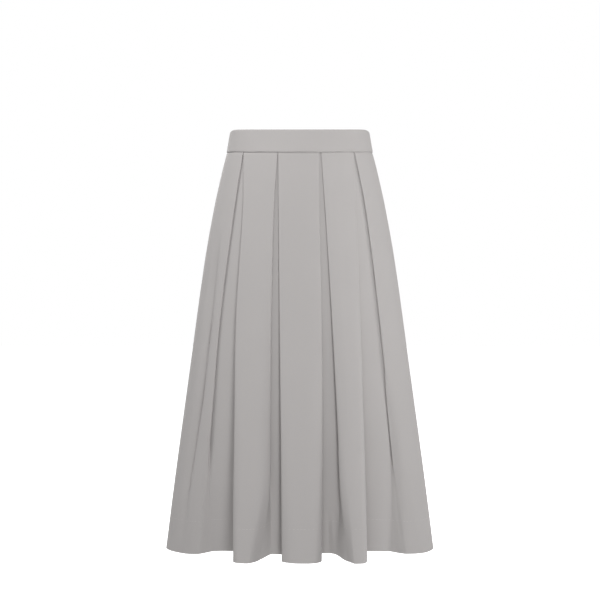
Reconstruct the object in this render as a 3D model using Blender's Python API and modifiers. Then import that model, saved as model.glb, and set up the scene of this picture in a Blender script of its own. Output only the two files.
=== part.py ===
"""Pleated midi skirt: a waistband over four inverted pleats in front and four behind.

Metres, +Z up. The front faces -Y and the wearer's left is +X. The origin is the centre of the
waist, half-way up the waistband. Each wall is one closed solid: its middle surface is traced at a
row of heights, moved out and in by half the cloth's thickness, and lofted.

A point of a cross-section is (angle, inset). The angle runs from -90 degrees at one side seam,
through 0 at the middle of the face, to +90 degrees at the other side seam. The inset is how far
the point lies inside the body ellipse of that height; a negative inset lies outside it.
"""

import math
from typing import NamedTuple

import bmesh
import bpy
import numpy as np
from mathutils import Matrix

# Driving sizes
CLOTH = 0.0010  # thickness of the skirt's wall
GAP = 0.0003  # clear space at every seam
BAND_HEIGHT = 0.0410
SKIRT_LENGTH = 0.7403  # waist seam to hem
BAND_TOP_HALF_WIDTH = 0.1270
BAND_TOP_HALF_DEPTH = 0.0862
BAND_OUT = 0.0013  # the band's faces, from the line of the skirt's wall
BAND_IN_TOP = 0.0013
BAND_IN_BOTTOM = 0.0017
BAND_EDGE = 0.0008  # rounding of the band's folded top edge
SEAM_DIP = 0.0020  # the waist seam is this much lower at the sides
BAND_TOP_DIP = 0.0050
SIDE_SHARPNESS = 30  # how near to the side seams those dips stay
LOBE_REACH = 1.30  # of the body ellipse, where the waves of the hem hang without the lift below
LAYER = 0.0016  # from one layer of a pleat to the next, at the waist
OPENING_GROWTH = 2.4  # pleats open slowly below the waist, then faster
CREST_GROWTH = 2.5  # a crest stays in the middle of its panel until low down
FOLD_AT_WAIST, FOLD_AT_HEM = 0.5, 0.2  # a fold's width, as a share of the pleat's depth
FOLD_ROUNDING, OPEN_ROUNDING = 0.27, 1.5  # as a share of that width
SOFTNESS_GROWTH = 2.6  # the edges are pressed sharp high up and round low down
OPEN_LAP = 0.006  # laps from this to minus this pass from a closed fold to an open one
OPEN_SHIFT = 0.25  # an open fold's corners move this share of the way towards each other
ARC_LIMIT = 0.42  # an arc takes up to this share of the run beside its corner
FOLD_STEPS, CREST_STEPS = 2, 5  # points on an arc; a crest's is odd, to have one in its middle
CREST_ROUNDING = 0.010  # of a panel's middle
DRAPE_ROUNDING = (0.002, 0.012)  # at the waist and at the hem
CORNER_STRETCH = 0.7  # a wall's corners are drawn out by no more than one part in this
BAND_STEPS = 22  # along a quarter of the waistband

# The concealed zip at the centre back
ZIP_SLOT = 0.0016  # between the halves of the back waistband
TAPE = 0.0010
TAPE_NEAR, TAPE_FAR = 0.0009, 0.0110  # the tape's edges, from the centre seam
TAPE_GAP = 0.0005  # behind the panel
TAPE_INSET = BAND_IN_BOTTOM + GAP + TAPE / 2  # behind the waistband
TAPE_BELOW_TOP = 0.0040
TAPE_STEP, TAPE_SLOPE = 0.0010, 0.0050  # where it passes from the waistband to the panel
HINGE_BELOW_TOP = 0.0100
HINGE_OUT = 0.0019  # the tab's axis, from the waistband's outer face
SLIDER_WIDTH, SLIDER_DEPTH, SLIDER_HEIGHT = 0.0056, 0.0026, 0.0090
NECK, NECK_REACH = 0.0008, 0.0018  # the slider's neck: thickness, reach past the axis
EYE_RADIUS, PIN_RADIUS = 0.0009, 0.0005
TAB = 0.0010  # thickness of the pull tab
TAB_ENDS = (
    # radius, height of its centre from the tab's axis, where its arc starts
    (0.0020, -0.0008, 0.0),
    (0.0033, -0.0175, math.pi),
)
TAB_ARC_STEPS = 10
ROD_SIDES = 16
SLOT, SLOT_DEPTH = 0.0016, 0.0030  # between the tab's ears, deeper than the neck's corners reach

WAIST_SEAM_Z = -BAND_HEIGHT / 2

# The body ellipse at each height, over which the cloth is folded
BODY = (
    # below the waist seam, half width, half depth
    (0.0000, 0.1337, 0.0920),
    (0.0200, 0.1393, 0.0940),
    (0.0500, 0.1465, 0.0965),
    (0.1000, 0.1576, 0.0990),
    (0.2000, 0.1757, 0.1015),
    (0.4000, 0.2041, 0.1010),
    (0.6000, 0.2322, 0.0995),
    (0.7403, 0.2505, 0.0980),
)

# How much higher than level the hem hangs behind its waves
HEM_LIFTS = (
    # share of the half width, lift
    (0.00, 0.0090),
    (0.55, 0.0095),
    (0.74, 0.0020),
    (0.86, -0.0012),
    (0.94, -0.0016),
    (1.00, 0.0000),
)

# Heights of the sections that the walls are lofted through, below the waist seam
LEVELS = (0.000, 0.030, 0.080, 0.150, 0.240, 0.340, 0.440, 0.540, 0.620, 0.685, SKIRT_LENGTH)

# The heights at which the rows below give how far a line lies from the middle of its face
LINE_DROPS = (0.000, 0.100, 0.300, 0.500, 0.630, SKIRT_LENGTH)


class Edge(NamedTuple):
    """One outer edge of a pleat, and the fold that it laps over."""

    line: tuple  # across from the middle, at LINE_DROPS
    lap: tuple  # hidden width behind the edge, at LINE_DROPS; negative where the fold has opened
    inset: float  # of the edge at the hem
    valley: float  # inset of the pleat's ground beside it at the hem
    softness: float  # how far from the edge its rounding starts at the hem
    steepness: float  # 1 where the ground rises evenly from the valley, more where it is sudden


class Pleat(NamedTuple):
    first: Edge
    second: Edge
    rise: float  # how far the middle of its ground stands out from its sides at the hem


class Crest(NamedTuple):
    """The middle of a panel between two pleats."""

    across: float  # at the hem
    inset: float  # at the hem


class Drape(NamedTuple):
    """A soft valley in a side panel."""

    line: tuple
    inset: float


FRONT_PLEATS = (
    Pleat(
        Edge(
            (-0.1032, -0.1189, -0.1458, -0.1637, -0.1775, -0.1900),
            (0.024, 0.023, 0.018, 0.008, -0.006, -0.020),
            -0.0005, 0.013, 0.012, 1.0,
        ),
        Edge(
            (-0.1020, -0.1029, -0.1164, -0.1206, -0.1225, -0.1224),
            (0.022, 0.022, 0.020, 0.014, 0.009, 0.003),
            -0.0395, 0.011, 0.015, 3.0,
        ),
        0.008,
    ),
    Pleat(
        Edge(
            (-0.0402, -0.0467, -0.0516, -0.0539, -0.0562, -0.0740),
            (0.022, 0.022, 0.020, 0.012, 0.001, -0.018),
            -0.0225, -0.006, 0.014, 1.0,
        ),
        Edge(
            (-0.0387, -0.0381, -0.0365, -0.0347, -0.0335, -0.0328),
            (0.024, 0.024, 0.022, 0.016, 0.010, 0.004),
            -0.0275, -0.004, 0.015, 3.0,
        ),
        0.000,
    ),
    Pleat(
        Edge(
            (0.0347, 0.0351, 0.0398, 0.0422, 0.0418, 0.0404),
            (0.024, 0.024, 0.022, 0.016, 0.008, 0.002),
            -0.0270, 0.008, 0.012, 1.5,
        ),
        Edge(
            (0.0388, 0.0460, 0.0586, 0.0696, 0.0752, 0.0890),
            (0.021, 0.021, 0.020, 0.014, 0.004, -0.016),
            -0.0300, -0.008, 0.014, 1.0,
        ),
        0.000,
    ),
    Pleat(
        Edge(
            (0.0978, 0.1021, 0.1105, 0.1177, 0.1219, 0.1243),
            (0.020, 0.020, 0.018, 0.012, 0.006, 0.002),
            -0.0345, 0.016, 0.010, 3.0,
        ),
        Edge(
            (0.0996, 0.1200, 0.1460, 0.1677, 0.1835, 0.1990),
            (0.024, 0.023, 0.020, 0.010, -0.006, -0.022),
            0.0020, 0.015, 0.020, 1.0,
        ),
        0.014,
    ),
)
FRONT_CRESTS = (Crest(-0.1040, -0.049), Crest(0.0030, -0.042), Crest(0.1010, -0.053))
FRONT_DRAPES = (Drape((-0.1240, -0.1370, -0.1620, -0.1890, -0.2080, -0.2255), 0.0110), None)

# Seen from behind, so the first pleat is the one near the wearer's left side
BACK_PLEATS = (
    Pleat(
        Edge(
            (-0.1013, -0.1190, -0.1440, -0.1640, -0.1760, -0.1850),
            (0.024, 0.023, 0.018, 0.009, -0.005, -0.018),
            0.0020, 0.014, 0.012, 1.0,
        ),
        Edge(
            (-0.0998, -0.1020, -0.1120, -0.1180, -0.1200, -0.1210),
            (0.020, 0.020, 0.018, 0.013, 0.008, 0.003),
            -0.0380, 0.011, 0.013, 2.0,
        ),
        0.010,
    ),
    Pleat(
        Edge(
            (-0.0417, -0.0460, -0.0540, -0.0600, -0.0650, -0.0790),
            (0.020, 0.020, 0.018, 0.011, 0.001, -0.016),
            -0.0240, -0.004, 0.013, 1.0,
        ),
        Edge(
            (-0.0402, -0.0395, -0.0385, -0.0375, -0.0368, -0.0360),
            (0.022, 0.022, 0.020, 0.014, 0.009, 0.004),
            -0.0290, -0.003, 0.013, 2.5,
        ),
        0.000,
    ),
    Pleat(
        Edge(
            (0.0402, 0.0400, 0.0395, 0.0385, 0.0378, 0.0370),
            (0.022, 0.022, 0.020, 0.014, 0.008, 0.002),
            -0.0280, 0.006, 0.012, 1.5,
        ),
        Edge(
            (0.0417, 0.0470, 0.0560, 0.0640, 0.0710, 0.0820),
            (0.020, 0.020, 0.018, 0.012, 0.003, -0.013),
            -0.0300, -0.004, 0.013, 1.0,
        ),
        0.000,
    ),
    Pleat(
        Edge(
            (0.0998, 0.1030, 0.1110, 0.1170, 0.1200, 0.1220),
            (0.020, 0.020, 0.018, 0.012, 0.007, 0.003),
            -0.0360, 0.013, 0.010, 2.5,
        ),
        Edge(
            (0.1013, 0.1200, 0.1450, 0.1660, 0.1790, 0.1890),
            (0.024, 0.023, 0.019, 0.010, -0.005, -0.020),
            0.0015, 0.014, 0.016, 1.0,
        ),
        0.012,
    ),
)
BACK_CRESTS = (Crest(-0.1005, -0.050), Crest(0.0000, -0.042), Crest(0.1020, -0.051))
BACK_DRAPES = (None, None)

FRONT = (FRONT_PLEATS, FRONT_CRESTS, FRONT_DRAPES)
BACK = (BACK_PLEATS, BACK_CRESTS, BACK_DRAPES)
BACK_SIDES = (("left", -1), ("right", 1))  # -1 is the wearer's left, seen from behind
TAPE_END_LEVEL = 3  # the zip ends at this one of the LEVELS

CLOTH_LOOK = ("skirt_cloth", (0.46, 0.44, 0.43, 1.0), 0.85, 0.0)
TAPE_LOOK = ("zip_tape", (0.42, 0.40, 0.39, 1.0), 0.90, 0.0)
METAL_LOOK = ("zip_metal", (0.55, 0.54, 0.53, 1.0), 0.40, 0.6)


class Bend(NamedTuple):
    """A corner of a cross-section and how it is drawn."""

    angle: float
    inset: float
    rounding: float = 0.0  # distance from the corner at which its arc starts
    steps: int = 1  # points on that arc
    fill: int = 0  # points between this corner and the next
    ease: float = 0.0  # above 0 the run to the next corner levels out, below 0 it starts level


def follow(heights, values, drop):
    """A table's value at any height, on a smooth curve through its rows."""
    last = len(heights) - 1
    low = min(max(int(np.searchsorted(heights, drop, side="right")) - 1, 0), last - 1)
    tangents = []
    for row in (low, low + 1):
        before, after = max(row - 1, 0), min(row + 1, last)
        tangents.append((values[after] - values[before]) / (heights[after] - heights[before]))
    span = heights[low + 1] - heights[low]
    f = (drop - heights[low]) / span
    return (
        values[low] * (1 + 2 * f) * (1 - f) ** 2
        + tangents[0] * span * f * (1 - f) ** 2
        + values[low + 1] * f * f * (3 - 2 * f)
        + tangents[1] * span * f * f * (f - 1)
    )


def body_at(drop):
    """Half width and half depth of the body ellipse."""
    heights, widths, depths = zip(*BODY)
    return follow(heights, widths, drop), follow(heights, depths, drop)


def place(body, angle, inset):
    """The plan point of (angle, inset), its face towards -Y."""
    return np.array(
        ((body[0] - inset) * math.sin(angle), -(body[1] - inset) * math.cos(angle))
    )


def angle_of(body, across, inset):
    return math.asin(max(-1.0, min(1.0, across / (body[0] - inset))))


def blend(at_waist, at_hem, share):
    return at_waist + (at_hem - at_waist) * share


def smooth(share):
    """Eases from 0 to 1."""
    share = min(1.0, max(0.0, share))
    return share * share * (3 - 2 * share)


def edge_bends(edge, side, drop, body):
    """The outer edge and the inner fold behind it. side is -1 for a pleat's first edge."""
    share = drop / SKIRT_LENGTH
    opened = share**OPENING_GROWTH
    inset = edge.inset * opened
    valley = blend(2 * LAYER, edge.valley, opened)
    width = (valley - inset) * blend(FOLD_AT_WAIST, FOLD_AT_HEM, opened)
    lap = follow(LINE_DROPS, edge.lap, drop)
    openness = smooth((OPEN_LAP - lap) / (2 * OPEN_LAP))
    angle = angle_of(body, follow(LINE_DROPS, edge.line, drop), inset)
    reach = math.hypot(
        (body[0] - valley) * math.cos(angle), (body[1] - valley) * math.sin(angle)
    )
    behind = angle + side * lap / reach
    shift = OPEN_SHIFT * openness * (behind - angle)
    rounding = width * blend(FOLD_ROUNDING, OPEN_ROUNDING, openness)
    softness = edge.softness * share**SOFTNESS_GROWTH
    return [
        Bend(angle, inset, rounding + softness, FOLD_STEPS),
        Bend(angle + shift, inset + width, rounding, FOLD_STEPS, fill=1),
        Bend(behind - shift, valley - width, rounding, FOLD_STEPS),
        Bend(behind, valley, rounding + softness * openness, FOLD_STEPS),
    ]


def face_bends(pleats, crests, drapes, drop):
    """All corners of the front or the back at one height, side seam to side seam."""
    body = body_at(drop)
    bends = [Bend(-math.pi / 2, 0.0, fill=5)]
    if drapes[0]:
        bends[0] = Bend(-math.pi / 2, 0.0, fill=2)
        bends.append(drape_bend(drapes[0], drop, body))
    for number, pleat in enumerate(pleats):
        first = edge_bends(pleat.first, -1, drop, body)
        second = edge_bends(pleat.second, 1, drop, body)
        first[-1] = first[-1]._replace(fill=1, ease=pleat.first.steepness)
        second.reverse()
        second[1] = second[1]._replace(fill=1)
        second[2] = second[2]._replace(fill=0)
        bends += first + [ground_bend(pleat, first[-1], second[0], drop)] + second
        if number < len(crests):
            bends[-1] = bends[-1]._replace(fill=2, ease=1.0)
            bends.append(crest_bend(crests[number], pleat, pleats[number + 1], drop, body))
        else:
            bends[-1] = bends[-1]._replace(fill=5)
    bends.append(Bend(math.pi / 2, 0.0))
    return body, bends


def ground_bend(pleat, left, right, drop):
    """The middle of a pleat's ground, which bulges forward between its two folds."""
    opened = (drop / SKIRT_LENGTH) ** OPENING_GROWTH
    inset = (left.inset + right.inset) / 2 - pleat.rise * opened
    middle = (left.angle + right.angle) / 2
    return Bend(middle, inset, fill=1, ease=-pleat.second.steepness)


def crest_bend(crest, before, after, drop, body):
    """The middle of a panel, which the hem's waves push out."""
    share = drop / SKIRT_LENGTH
    inset = crest.inset * share**OPENING_GROWTH
    middle = 0.5 * (
        follow(LINE_DROPS, before.second.line, drop) + follow(LINE_DROPS, after.first.line, drop)
    )
    across = blend(middle, crest.across, share**CREST_GROWTH)
    angle = angle_of(body, across, inset)
    return Bend(angle, inset, CREST_ROUNDING, CREST_STEPS, fill=2, ease=-1.0)


def drape_bend(drape, drop, body):
    share = drop / SKIRT_LENGTH
    inset = drape.inset * share**OPENING_GROWTH
    angle = angle_of(body, follow(LINE_DROPS, drape.line, drop), inset)
    return Bend(angle, inset, blend(*DRAPE_ROUNDING, share), CREST_STEPS, fill=2)


def trace(body, bends):
    """The plan points of a cross-section: arcs at its bends and points between them."""
    corners = [place(body, bend.angle, bend.inset) for bend in bends]
    lengths = [float(np.linalg.norm(b - a)) for a, b in zip(corners, corners[1:])]

    def between(i, f):
        a, b = bends[i], bends[i + 1]
        eased = 1 - (1 - f) ** (1 + a.ease) if a.ease > 0 else f ** (1 - a.ease)
        return place(body, blend(a.angle, b.angle, f), blend(a.inset, b.inset, eased))

    points = []
    for i, bend in enumerate(bends):
        before = min(bend.rounding / lengths[i - 1], ARC_LIMIT) if i else 0.0
        after = min(bend.rounding / lengths[i], ARC_LIMIT) if i < len(lengths) else 0.0
        if bend.steps == 1:
            points.append(corners[i])
        else:
            start, end = between(i - 1, 1 - before), between(i, after)
            for step in range(bend.steps):
                q = step / (bend.steps - 1)
                points.append((1 - q) ** 2 * start + 2 * q * (1 - q) * corners[i] + q * q * end)
        if bend.fill:
            following = bends[i + 1]
            stop = 1 - min(following.rounding / lengths[i], ARC_LIMIT)
            for step in range(1, bend.fill + 1):
                points.append(between(i, after + (stop - after) * step / (bend.fill + 1)))
    return np.array(points)


def outward(points, first, last):
    """Directions square to the line, longer at its corners so that a wall keeps its thickness."""
    runs = np.diff(points, axis=0)
    runs /= np.linalg.norm(runs, axis=1)[:, None]
    before = np.vstack([runs[:1], runs])
    after = np.vstack([runs, runs[-1:]])
    middle = before + after
    middle /= np.linalg.norm(middle, axis=1)[:, None]
    normals = np.stack([middle[:, 1], -middle[:, 0]], axis=1)
    stretch = np.sum(middle * after, axis=1)
    normals /= np.clip(stretch, CORNER_STRETCH, 1.0)[:, None]
    normals[0], normals[-1] = first, last
    return normals


def cloth_height(point, body, drop):
    """Height of a point of the cloth: the seam dips at the sides and the hem hangs uneven."""
    share = drop / SKIRT_LENGTH
    across = min(1.0, abs(point[0] / body[0]))
    reach = math.hypot(point[0] / body[0], point[1] / body[1])
    dip = SEAM_DIP * (1 - share) * across**SIDE_SHARPNESS
    places, lifts = zip(*HEM_LIFTS)
    lift = follow(places, lifts, across) * smooth((LOBE_REACH - reach) / (LOBE_REACH - 1))
    return WAIST_SEAM_Z - drop - dip + lift * share**2


def wall_sections(face, cut):
    """Outer and inner 3-D lines of a wall at each level. cut trims the face to one piece."""
    sections = []
    for drop in LEVELS:
        body, bends = face_bends(*face, drop)
        points, ends = cut(trace(body, bends), bends)
        normals = outward(points, *ends)
        heights = [cloth_height(point, body, drop) for point in points]
        outer, inner = points + normals * CLOTH / 2, points - normals * CLOTH / 2
        sections.append(
            (np.column_stack([outer, heights]), np.column_stack([inner, heights]))
        )
    return sections


def whole_face(points, _):
    points[0] = (points[0][0], -GAP / 2)
    points[-1] = (points[-1][0], -GAP / 2)
    return points, ((-1.0, 0.0), (1.0, 0.0))


def half_face(points, bends, side):
    """The part of a face on one side of its middle crest, which ends square at the centre seam."""
    crest = len(bends) // 2
    middle = sum(bend.steps + bend.fill for bend in bends[:crest]) + bends[crest].steps // 2
    points[middle][0] = side * GAP / 2
    if side < 0:
        points[0] = (points[0][0], -GAP / 2)
        return points[: middle + 1], ((-1.0, 0.0), (0.0, -1.0))
    points[-1] = (points[-1][0], -GAP / 2)
    return points[middle:], ((0.0, -1.0), (1.0, 0.0))


def turned(points):
    """A face that was drawn as the front, turned to be the back."""
    return points * np.array((-1.0, -1.0, 1.0))


def loft(name, sections, look, back=False):
    """A closed wall through (outer, inner) lines, top section first."""
    mesh = bmesh.new()
    rings = []
    for outer, inner in sections:
        ring = []
        for line in (outer, inner):
            line = turned(line) if back else line
            ring.append([mesh.verts.new(point) for point in line])
        rings.append(ring)
    for above, below in zip(rings, rings[1:]):
        for a, b in zip(above, below):
            for i in range(len(a) - 1):
                mesh.faces.new((a[i], a[i + 1], b[i + 1], b[i]))
        for i in (0, -1):
            mesh.faces.new((above[0][i], above[1][i], below[1][i], below[0][i]))
    for outer, inner in (rings[0], rings[-1]):
        for i in range(len(outer) - 1):
            mesh.faces.new((outer[i], outer[i + 1], inner[i + 1], inner[i]))
    bmesh.ops.recalc_face_normals(mesh, faces=mesh.faces[:])
    return add_object(name, mesh, look)


def add_object(name, mesh, look, group=None):
    data = bpy.data.meshes.new(name)
    mesh.to_mesh(data)
    mesh.free()
    data.materials.append(material(*look))
    part = bpy.data.objects.new(name, data)
    (group or parts).objects.link(part)
    return part


def material(name, colour, roughness, metallic):
    found = bpy.data.materials.get(name)
    if found:
        return found
    made = bpy.data.materials.new(name)
    made.use_nodes = True
    shader = made.node_tree.nodes["Principled BSDF"]
    shader.inputs["Base Color"].default_value = colour
    shader.inputs["Roughness"].default_value = roughness
    shader.inputs["Metallic"].default_value = metallic
    return made


def collection(name):
    made = bpy.data.collections.new(name)
    bpy.context.scene.collection.children.link(made)
    return made


def skirt_panels():
    loft("skirt_front", wall_sections(FRONT, whole_face), CLOTH_LOOK)
    for name, side in BACK_SIDES:
        cut = back_cut(side)
        loft(f"skirt_back_{name}", wall_sections(BACK, cut), CLOTH_LOOK, back=True)


def back_cut(side):
    return lambda points, bends: half_face(points, bends, side)


def band_body(rise):
    """The body ellipse at a share of the waistband's height."""
    return (
        blend(BODY[0][1], BAND_TOP_HALF_WIDTH, rise),
        blend(BODY[0][2], BAND_TOP_HALF_DEPTH, rise),
    )


def band_point(angle, inset, rise, trim):
    """A point of the waistband; rise is 0 at its seam and 1 at its top edge."""
    flat = place(band_body(rise), angle, inset)
    near_side = abs(math.sin(angle)) ** SIDE_SHARPNESS
    height = blend(GAP, BAND_HEIGHT, rise) - blend(SEAM_DIP, BAND_TOP_DIP, rise) * near_side
    across, depth = trim(flat)
    return (across, depth, WAIST_SEAM_Z + height)


def waistband(name, angles, trims, back=False):
    """The band's cross-section carried along an arc of the waist."""
    shoulder = 1 - BAND_EDGE / BAND_HEIGHT
    profile = (
        # inset, rise
        (-BAND_OUT, 0.0),
        (-BAND_OUT, 0.5),
        (-BAND_OUT, shoulder),
        (BAND_EDGE - BAND_OUT, 1.0),
        (BAND_IN_TOP - BAND_EDGE, 1.0),
        (BAND_IN_TOP, shoulder),
        (BAND_IN_BOTTOM, 0.0),
    )
    mesh = bmesh.new()
    rings = []
    for i, angle in enumerate(angles):
        trim = trims.get(i - len(angles) if i else 0, lambda flat: flat)
        ring = [np.array(band_point(angle, inset, rise, trim)) for inset, rise in profile]
        rings.append([mesh.verts.new(turned(point) if back else point) for point in ring])
    for a, b in zip(rings, rings[1:]):
        for i in range(len(profile)):
            mesh.faces.new((a[i - 1], a[i], b[i], b[i - 1]))
    for ring in (rings[0], rings[-1]):
        mesh.faces.new(ring)
    bmesh.ops.recalc_face_normals(mesh, faces=mesh.faces[:])
    bmesh.ops.triangulate(mesh, faces=[face for face in mesh.faces if len(face.verts) > 4])
    add_object(name, mesh, CLOTH_LOOK)


def at_side_seam(flat):
    return (flat[0], -GAP / 2)


def waistbands():
    half_turn = np.linspace(-math.pi / 2, math.pi / 2, 2 * BAND_STEPS + 1)
    waistband("waistband_front", half_turn, {0: at_side_seam, -1: at_side_seam})
    for name, side in BACK_SIDES:
        angles = np.linspace(side * math.pi / 2, 0.0, BAND_STEPS + 1)
        slot = side * ZIP_SLOT / 2
        trims = {0: at_side_seam, -1: lambda flat, x=slot: (x, flat[1])}
        waistband(f"waistband_back_{name}", angles, trims, back=True)


def back_line(drop, side):
    """The back panel's middle line at any height, between its own sections."""
    upper = max(level for level in LEVELS if level <= drop)
    lower = min(level for level in LEVELS if level > drop)
    share = (drop - upper) / (lower - upper)
    lines = []
    for level in (upper, lower):
        body, bends = face_bends(*BACK, level)
        points, _ = half_face(trace(body, bends), bends, side)
        lines.append(points)
    return blend(lines[0], lines[1], share)


def zip_tape(name, side):
    """A strip behind the waistband's and the panel's edges, laid on their inner faces."""
    across = side * np.linspace(TAPE_NEAR, TAPE_FAR, 3)
    rows = []
    for rise in (1 - TAPE_BELOW_TOP / BAND_HEIGHT, 0.0):
        body = band_body(rise)
        middles = [place(body, angle_of(body, x, TAPE_INSET), TAPE_INSET) for x in across]
        rows.append((middles, WAIST_SEAM_Z + rise * BAND_HEIGHT - TAPE_STEP * (rise == 0.0)))
    for drop in (TAPE_STEP + TAPE_SLOPE, *LEVELS[1 : TAPE_END_LEVEL + 1]):
        line = back_line(drop, side)
        order = np.argsort(line[:, 0])
        depths = np.interp(across, line[order][:, 0], line[order][:, 1])
        behind = CLOTH / 2 + TAPE_GAP + TAPE / 2
        rows.append(([(x, y + behind) for x, y in zip(across, depths)], WAIST_SEAM_Z - drop))
    sections = []
    for middles, height in rows:
        line = np.array([(x, y, height) for x, y in middles])
        shift = np.array((0.0, TAPE / 2, 0.0))
        sections.append((line - shift, line + shift))
    loft(name, sections, TAPE_LOOK, back=True)


def box(name, low, high, group=None):
    mesh = bmesh.new()
    bmesh.ops.create_cube(mesh, size=1.0)
    for vertex in mesh.verts:
        for axis in range(3):
            vertex.co[axis] = high[axis] if vertex.co[axis] > 0 else low[axis]
    return add_object(name, mesh, METAL_LOOK, group)


def rod(name, radius, half_length, group=None):
    """A cylinder along X through the pull tab's axis."""
    mesh = bmesh.new()
    turn = Matrix.Rotation(math.pi / 2, 4, "Y")
    bmesh.ops.create_cone(
        mesh, cap_ends=True, segments=ROD_SIDES, radius1=radius, radius2=radius,
        depth=2 * half_length, matrix=turn,
    )
    return add_object(name, mesh, METAL_LOOK, group)


def tab_blank(name):
    """The tab's outline: two round ends and the straight sides between them, made thick."""
    mesh = bmesh.new()
    outline = []
    for radius, height, start in TAB_ENDS:
        for step in range(TAB_ARC_STEPS + 1):
            turn = start + math.pi * step / TAB_ARC_STEPS
            outline.append((radius * math.cos(turn), height + radius * math.sin(turn)))
    front = [mesh.verts.new((x, -TAB / 2, z)) for x, z in outline]
    back = [mesh.verts.new((x, TAB / 2, z)) for x, z in outline]
    mesh.faces.new(front)
    mesh.faces.new(back)
    for i in range(len(outline)):
        mesh.faces.new((front[i - 1], front[i], back[i], back[i - 1]))
    bmesh.ops.recalc_face_normals(mesh, faces=mesh.faces[:])
    return add_object(name, mesh, METAL_LOOK)


def combine(part, tool, operation):
    """Boolean of a part with a tool that stays hidden and moves with it."""
    modifier = part.modifiers.new(operation.lower(), "BOOLEAN")
    modifier.operation = operation
    modifier.object = tool
    tool.parent = part
    tool.hide_render = True
    tool.display_type = "WIRE"


def hang_on_band(part):
    """Puts a piece that was drawn round the tab's axis on the sloping back waistband."""
    rise = 1 - HINGE_BELOW_TOP / BAND_HEIGHT
    slope = math.atan2(BODY[0][2] - BAND_TOP_HALF_DEPTH, BAND_HEIGHT)
    part.location = (
        0.0,
        band_body(rise)[1] + BAND_OUT + HINGE_OUT,
        WAIST_SEAM_Z + rise * BAND_HEIGHT,
    )
    part.rotation_euler = (slope, 0.0, 0.0)


def zip_hardware():
    inside = -(HINGE_OUT + BAND_OUT + TAPE_INSET + TAPE / 2 + GAP)
    slider = box(
        "zip_slider",
        (-SLIDER_WIDTH / 2, inside - SLIDER_DEPTH, -SLIDER_HEIGHT / 2),
        (SLIDER_WIDTH / 2, inside, SLIDER_HEIGHT / 2),
    )
    bevel = slider.modifiers.new("edges", "BEVEL")
    bevel.width = SLIDER_DEPTH / 4
    bevel.segments = 2
    neck = box(
        "slider_neck",
        (-NECK / 2, inside - SLIDER_DEPTH / 4, -NECK_REACH),
        (NECK / 2, NECK_REACH, NECK_REACH),
        cutters,
    )
    combine(slider, neck, "UNION")
    combine(slider, rod("slider_eye", EYE_RADIUS, NECK, cutters), "DIFFERENCE")
    tab = tab_blank("zip_pull_tab")
    slot = box("tab_slot", (-SLOT / 2, -TAB, -SLOT_DEPTH), (SLOT / 2, TAB, NECK_REACH), cutters)
    combine(tab, slot, "DIFFERENCE")
    combine(tab, rod("tab_pin", PIN_RADIUS, SLOT / 2 + TAB / 2, cutters), "UNION")
    for part in (slider, tab):
        hang_on_band(part)


for thing in list(bpy.data.objects):
    bpy.data.objects.remove(thing, do_unlink=True)
parts = collection("pleated_midi_skirt")
cutters = collection("cutters")
skirt_panels()
waistbands()
for side_name, side in BACK_SIDES:
    zip_tape(f"zip_tape_{side_name}", side)
zip_hardware()
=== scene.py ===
"""Pleated midi skirt: the cloth, its sewing, the zip's finish, the light and the camera.

The cloth is a thin shell on the form of its solids. It is drawn from the same named sizes and
tables, more finely, with soft creases laid into it. Metres, +Z up, front towards -Y.

A point of a cross-section is (angle, inset). The angle runs from -90 degrees at one side seam,
through 0 at the middle of the face, to +90 degrees at the other side seam. The inset is how far
the point lies inside the body ellipse of that height; a negative inset lies outside it.
"""

import math
from typing import NamedTuple

import bpy
import numpy as np
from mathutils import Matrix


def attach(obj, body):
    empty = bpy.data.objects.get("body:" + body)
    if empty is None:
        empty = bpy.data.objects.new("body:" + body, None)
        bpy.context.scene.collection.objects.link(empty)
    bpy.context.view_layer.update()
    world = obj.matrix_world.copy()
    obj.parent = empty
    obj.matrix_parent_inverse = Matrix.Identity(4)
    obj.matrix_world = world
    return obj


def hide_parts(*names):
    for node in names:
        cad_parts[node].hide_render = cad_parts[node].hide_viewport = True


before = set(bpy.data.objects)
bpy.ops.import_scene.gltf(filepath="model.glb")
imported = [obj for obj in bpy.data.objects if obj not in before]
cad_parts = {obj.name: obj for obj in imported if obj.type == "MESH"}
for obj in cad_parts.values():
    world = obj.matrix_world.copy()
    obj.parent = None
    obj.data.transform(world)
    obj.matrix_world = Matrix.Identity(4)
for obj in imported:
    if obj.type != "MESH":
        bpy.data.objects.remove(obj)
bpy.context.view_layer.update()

# ---------------------------------------------------------------------------------- sizes

CLOTH = 0.0005  # thickness of the cloth
GAP = 0.0003  # clear space at every seam
BAND_HEIGHT = 0.0410
SKIRT_LENGTH = 0.7403  # waist seam to hem
BAND_TOP_HALF_WIDTH = 0.1270
BAND_TOP_HALF_DEPTH = 0.0862
BAND_OUT = 0.0013  # the band's faces, from the line of the skirt's wall
BAND_IN_TOP = 0.0013
BAND_IN_BOTTOM = 0.0017
SEAM_DIP = 0.0020  # the waist seam is this much lower at the sides
BAND_TOP_DIP = 0.0050
SIDE_SHARPNESS = 30  # how near to the side seams those dips stay
LOBE_REACH = 1.30  # of the body ellipse, where the waves of the hem hang without the lift below
LAYER = 0.0016  # from one layer of a pleat to the next, at the waist
PRESSED_AT_SEAM, PRESSED_HEIGHT = 0.75, 0.090  # the share of that at the seam, and where it is 1
OPENING_GROWTH = 2.4  # pleats open slowly below the waist, then faster
CREST_GROWTH = 2.5  # a crest stays in the middle of its panel until low down
FOLD_AT_WAIST, FOLD_AT_HEM = 0.5, 0.2  # a fold's width, as a share of the pleat's depth
FOLD_ROUNDING, OPEN_ROUNDING = 0.40, 1.5  # as a share of that width
SOFTNESS_GROWTH = 2.6  # the edges are pressed sharp high up and round low down
OPEN_LAP = 0.006  # laps from this to minus this pass from a closed fold to an open one
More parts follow.
